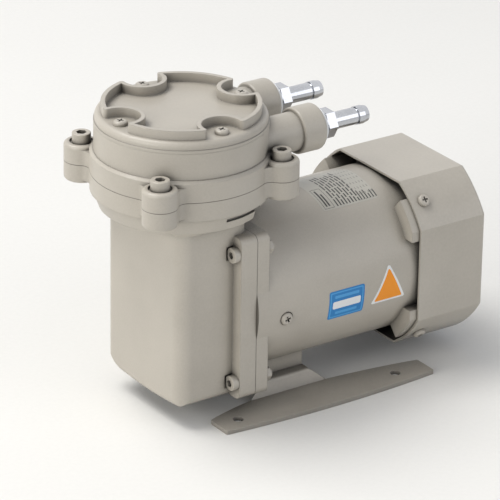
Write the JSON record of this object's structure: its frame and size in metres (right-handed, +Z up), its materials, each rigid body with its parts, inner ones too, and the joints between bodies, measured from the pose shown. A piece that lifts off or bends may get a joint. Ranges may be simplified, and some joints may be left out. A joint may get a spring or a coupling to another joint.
{
  "type": "diaphragm vacuum pump",
  "caption": "Oil-free diaphragm vacuum pump: a fan-cooled motor on a foot plate drives a diaphragm under a round head with an inlet and an outlet hose nipple.",
  "frame": {"origin": "centre of the four foot holes, on the surface the pump stands on", "axes": "+X along the motor axis from the pump head to the fan, +Z up, -Y towards the inlet nipple"},
  "size_m": [0.2119, 0.1094, 0.1693],
  "materials": {
    "painted_casting": "semi-gloss warm grey enamel over die-cast aluminium",
    "painted_sheet": "semi-gloss warm grey enamel over pressed steel sheet",
    "painted_screw": "screw painted over with the casting",
    "zinc_steel": "zinc plated",
    "nickel_brass": "bright nickel plating over turned brass",
    "fibre_seal": "pale fibre",
    "black_rubber": "moulded matt",
    "bare_aluminium": "as machined",
    "bearing_steel": "ground",
    "grey_iron": "machined",
    "lamination": "stacked sheet",
    "copper_winding": "lacquered",
    "fan_plastic": "moulded"
  },
  "bodies": {
    "frame": {"base_plate": "painted_sheet", "base_screws": "zinc_steel", "bracket_screws": "zinc_steel", "cover_gasket": "fibre_seal", "cover_screws": "painted_screw", "crankcase": "painted_casting", "cylinder_head": "painted_casting", "diaphragm": "black_rubber", "exhaust_guard": "zinc_steel", "fan_cover": "painted_sheet", "fan_cover_screws": "painted_screw", "flange_bolts": "painted_screw", "flange_nuts": "painted_screw", "front_bearing_outer": "bearing_steel", "head_cover": "painted_casting", "head_screws": "painted_screw", "inlet_nipple": "nickel_brass", "intake_guard": "zinc_steel", "lead_grommet": "black_rubber", "motor_housing": "painted_casting", "outlet_nipple": "nickel_brass", "port_seals": "fibre_seal", "preload_washer": "zinc_steel", "rear_bearing_outer": "bearing_steel", "rear_bracket": "painted_casting", "side_screws": "painted_screw", "stator_core": "lamination", "stator_windings": "copper_winding"},
    "rotor": {"motor_shaft": "bearing_steel", "rotor_core": "lamination", "eccentric": "grey_iron", "eccentric_set_screw": "zinc_steel", "front_bearing_inner": "bearing_steel", "rear_bearing_inner": "bearing_steel", "rod_bearing_inner": "bearing_steel", "cooling_fan": "fan_plastic", "fan_clip": "zinc_steel"},
    "rod": {"connecting_rod": "bare_aluminium", "rod_bearing_outer": "bearing_steel", "diaphragm_support": "bare_aluminium", "diaphragm_clamp": "bare_aluminium", "diaphragm_screw": "zinc_steel"},
    "intake_disc": {"intake_valve": "black_rubber"},
    "exhaust_disc": {"exhaust_valve": "black_rubber"}
  },
  "joints": [
    {"name": "shaft_spin", "type": "hinge", "parent": "frame", "child": "rotor", "pos_m": [-0.0406, 0, 0.0587], "axis": [1, 0, 0], "continuous": true, "deforming": ["diaphragm"]},
    {"name": "rod_follow", "type": "hinge", "parent": "rotor", "child": "rod", "pos_m": [-0.0598, 0, 0.0562], "axis": [1, 0, 0], "continuous": true},
    {"name": "intake_lift", "type": "slide", "parent": "frame", "child": "intake_disc", "axis": [0, 0, 1], "range_m": [0, 0.0008]},
    {"name": "exhaust_lift", "type": "slide", "parent": "frame", "child": "exhaust_disc", "axis": [0, 0, 1], "range_m": [0, 0.0008]}
  ],
  "couplings": [
    {"joint": "rod_follow", "follows": "shaft_spin", "ratio": -1}
  ]
}
